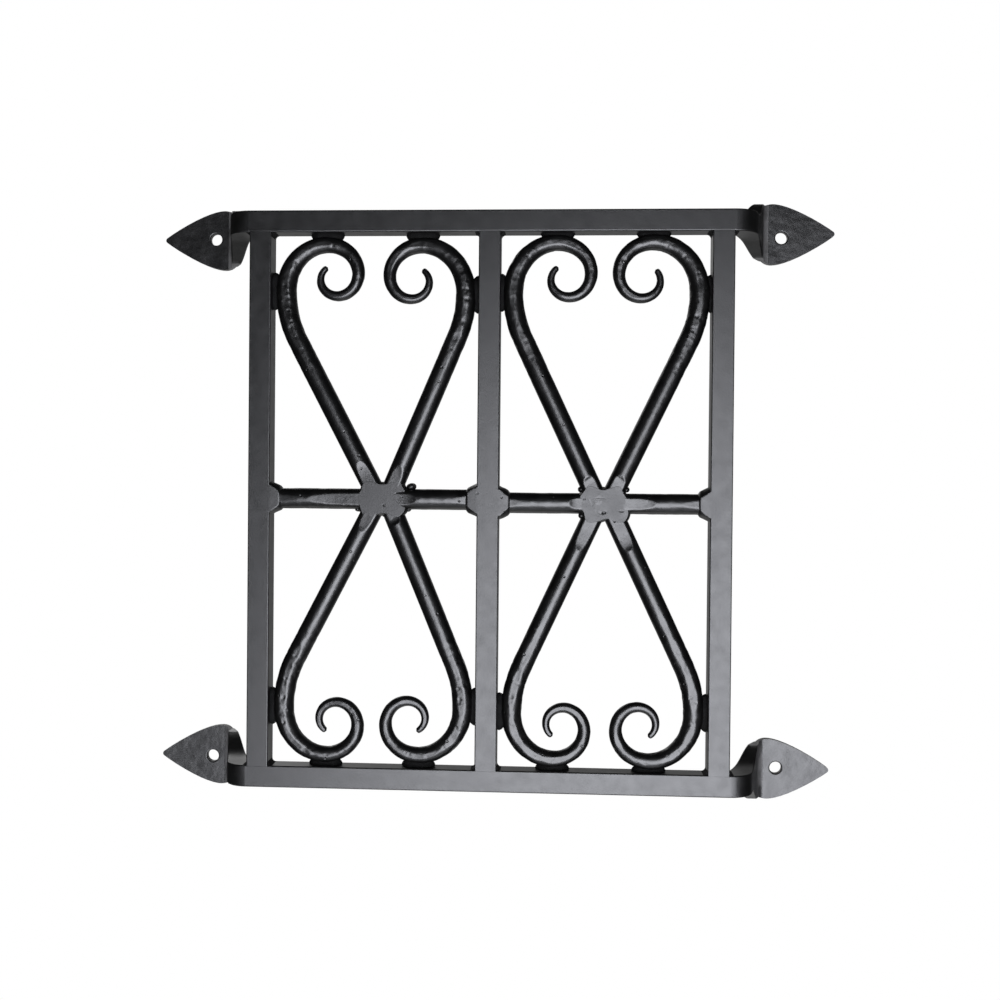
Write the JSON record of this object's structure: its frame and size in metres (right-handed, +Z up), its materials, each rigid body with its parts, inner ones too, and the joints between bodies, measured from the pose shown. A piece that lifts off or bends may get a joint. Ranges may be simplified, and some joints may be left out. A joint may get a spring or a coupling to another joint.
{
  "type": "speakeasy door grille",
  "caption": "Welded iron grille of square bars and tapered round scrolls, held off the door by forged leaf-shaped ears with screw holes.",
  "frame": {"origin": "centre of the four screw holes, on the door's face where the ears' backs lie", "axes": "+X to the right and +Z up as the door's visitor sees it; -Y out of the door, towards the visitor"},
  "size_m": [0.3096, 0.0395, 0.272],
  "materials": {
    "satin_black_paint": "satin black paint on smooth forged bar",
    "hammered_black_paint": "satin black paint on hammered round bar",
    "painted_weld": "satin black paint on weld beads"
  },
  "bodies": {
    "root": {"bottom_rail": "satin_black_paint", "left_crossbar": "satin_black_paint", "left_crossbar_inner_weld": "painted_weld", "left_crossbar_outer_weld": "painted_weld", "left_crossing_weld": "painted_weld", "left_lower_inner_rail_weld": "painted_weld", "left_lower_inner_scroll": "hammered_black_paint", "left_lower_inner_stile_weld": "painted_weld", "left_lower_outer_rail_weld": "painted_weld", "left_lower_outer_scroll": "hammered_black_paint", "left_lower_outer_stile_weld": "painted_weld", "left_stile": "satin_black_paint", "left_stile_lower_weld": "painted_weld", "left_stile_upper_weld": "painted_weld", "left_upper_inner_rail_weld": "painted_weld", "left_upper_inner_scroll": "hammered_black_paint", "left_upper_inner_stile_weld": "painted_weld", "left_upper_outer_rail_weld": "painted_weld", "left_upper_outer_scroll": "hammered_black_paint", "left_upper_outer_stile_weld": "painted_weld", "middle_stile": "satin_black_paint", "middle_stile_lower_weld": "painted_weld", "middle_stile_upper_weld": "painted_weld", "right_crossbar": "satin_black_paint", "right_crossbar_inner_weld": "painted_weld", "right_crossbar_outer_weld": "painted_weld", "right_crossing_weld": "painted_weld", "right_lower_inner_rail_weld": "painted_weld", "right_lower_inner_scroll": "hammered_black_paint", "right_lower_inner_stile_weld": "painted_weld", "right_lower_outer_rail_weld": "painted_weld", "right_lower_outer_scroll": "hammered_black_paint", "right_lower_outer_stile_weld": "painted_weld", "right_stile": "satin_black_paint", "right_stile_lower_weld": "painted_weld", "right_stile_upper_weld": "painted_weld", "right_upper_inner_rail_weld": "painted_weld", "right_upper_inner_scroll": "hammered_black_paint", "right_upper_inner_stile_weld": "painted_weld", "right_upper_outer_rail_weld": "painted_weld", "right_upper_outer_scroll": "hammered_black_paint", "right_upper_outer_stile_weld": "painted_weld", "top_rail": "satin_black_paint"}
  },
  "joints": []
}
